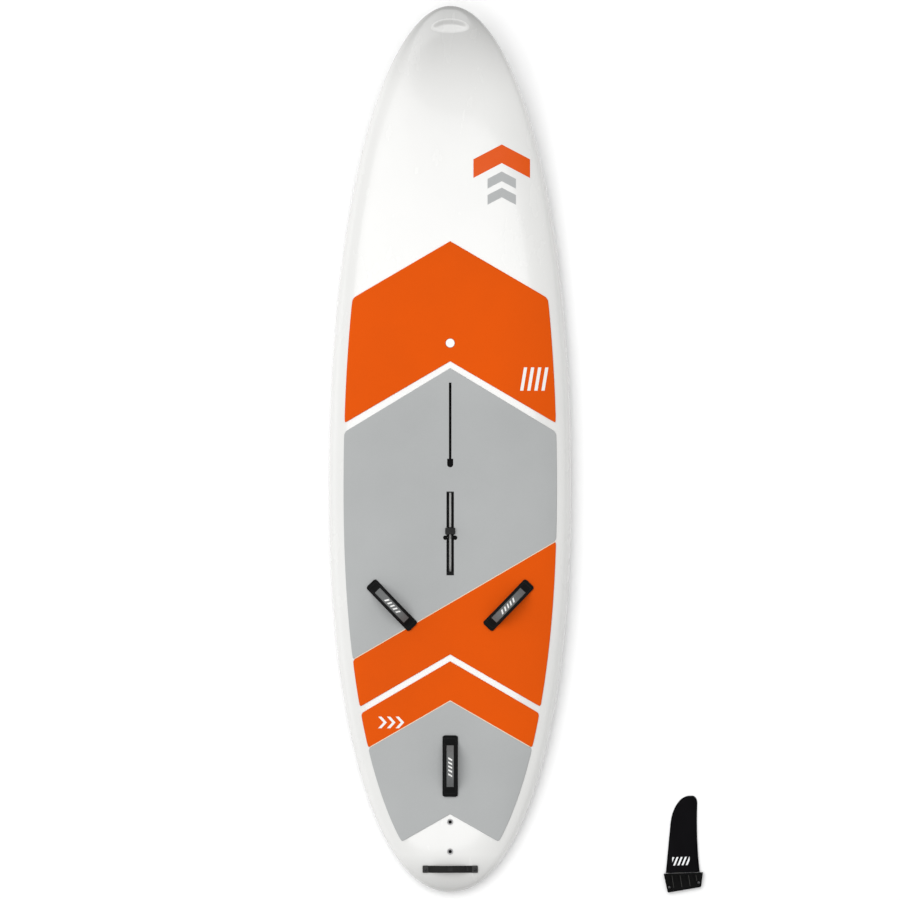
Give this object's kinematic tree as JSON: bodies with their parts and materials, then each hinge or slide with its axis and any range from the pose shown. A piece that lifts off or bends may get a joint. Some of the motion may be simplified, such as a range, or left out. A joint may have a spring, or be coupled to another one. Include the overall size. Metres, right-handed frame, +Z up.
{
  "type": "windsurf board",
  "caption": "Wide flat-water windsurf board with foam deck pads, footstraps, slotted mast track, swinging daggerboard, tail handle and a loose fin beside it.",
  "frame": {"origin": "on the flat of the bottom skin, on the centreline, halfway from nose to tail", "axes": "+Y towards the nose, +X towards the starboard rail, +Z up out of the deck"},
  "size_m": [1.1616, 2.7537, 0.2255],
  "materials": {
    "white_lacquer": "gloss",
    "bead_foam": "matte",
    "orange_foam": "matte",
    "grey_foam": "matte",
    "black_plastic": "satin",
    "black_rubber": "matte",
    "steel": "satin",
    "grey_composite": "satin",
    "strap_fabric": "matte",
    "label_grey": "matte",
    "fin_black": "gloss"
  },
  "bodies": {
    "board": {"axle_seat_left": "black_rubber", "axle_seat_right": "black_rubber", "bolt_bush_front": "white_lacquer", "bolt_bush_rear": "white_lacquer", "bottom_skin": "white_lacquer", "daggerboard_case": "black_plastic", "deck_skin": "white_lacquer", "fin_box": "black_plastic", "foam_core": "bead_foam", "handle_block": "bead_foam", "handle_grip": "strap_fabric", "handle_plate_left": "black_plastic", "handle_plate_right": "black_plastic", "handle_screw_left": "steel", "handle_screw_right": "steel", "lower_lip_left": "black_rubber", "lower_lip_right": "black_rubber", "mast_track_box": "black_plastic", "pad_front": "orange_foam", "pad_middle_grey": "grey_foam", "pad_middle_orange": "orange_foam", "pad_rear_grey": "grey_foam", "pad_rear_orange": "orange_foam", "pivot_axle": "steel", "slot_lip_left": "black_rubber", "slot_lip_right": "black_rubber", "slot_strip": "label_grey", "strap_left_insert_a": "black_plastic", "strap_left_insert_b": "black_plastic", "strap_left_label": "label_grey", "strap_left_screw_a": "steel", "strap_left_screw_b": "steel", "strap_left_sleeve": "strap_fabric", "strap_left_webbing": "strap_fabric", "strap_rear_insert_a": "black_plastic", "strap_rear_insert_b": "black_plastic", "strap_rear_label": "label_grey", "strap_rear_screw_a": "steel", "strap_rear_screw_b": "steel", "strap_rear_sleeve": "strap_fabric", "strap_rear_webbing": "strap_fabric", "strap_right_insert_a": "black_plastic", "strap_right_insert_b": "black_plastic", "strap_right_label": "label_grey", "strap_right_screw_a": "steel", "strap_right_screw_b": "steel", "strap_right_sleeve": "strap_fabric", "strap_right_webbing": "strap_fabric", "vent_insert": "black_plastic", "vent_seal": "black_rubber"},
    "daggerboard": {"daggerboard_blade": "grey_composite", "daggerboard_head": "grey_composite", "foot_peg": "black_rubber"},
    "vent_screw": {"vent_plug": "white_lacquer"},
    "fin": {"fin_blade": "fin_black", "fin_base": "black_plastic", "fin_nut_front": "steel", "fin_nut_rear": "steel"},
    "front_bolt": {"fin_bolt_front": "black_plastic"},
    "rear_bolt": {"fin_bolt_rear": "black_plastic"}
  },
  "joints": [
    {"name": "daggerboard_swing", "type": "hinge", "parent": "board", "child": "daggerboard", "pos_m": [0, -0.2745, 0.13959], "axis": [1, 0, 0], "range_deg": [0, 85]},
    {"name": "vent_turn", "type": "hinge", "parent": "board", "child": "vent_screw", "pos_m": [0, 0.3295, 0.139], "axis": [0, 0, 1], "range_deg": [0, 630]},
    {"name": "fin_lift", "type": "slide", "parent": "board", "child": "fin", "axis": [0, 0, 1], "range_m": [0, 0.1]},
    {"name": "front_bolt_out", "type": "slide", "parent": "board", "child": "front_bolt", "axis": [0, 0, 1], "range_m": [0, 0.06]},
    {"name": "rear_bolt_out", "type": "slide", "parent": "board", "child": "rear_bolt", "axis": [0, 0, 1], "range_m": [0, 0.06]}
  ]
}
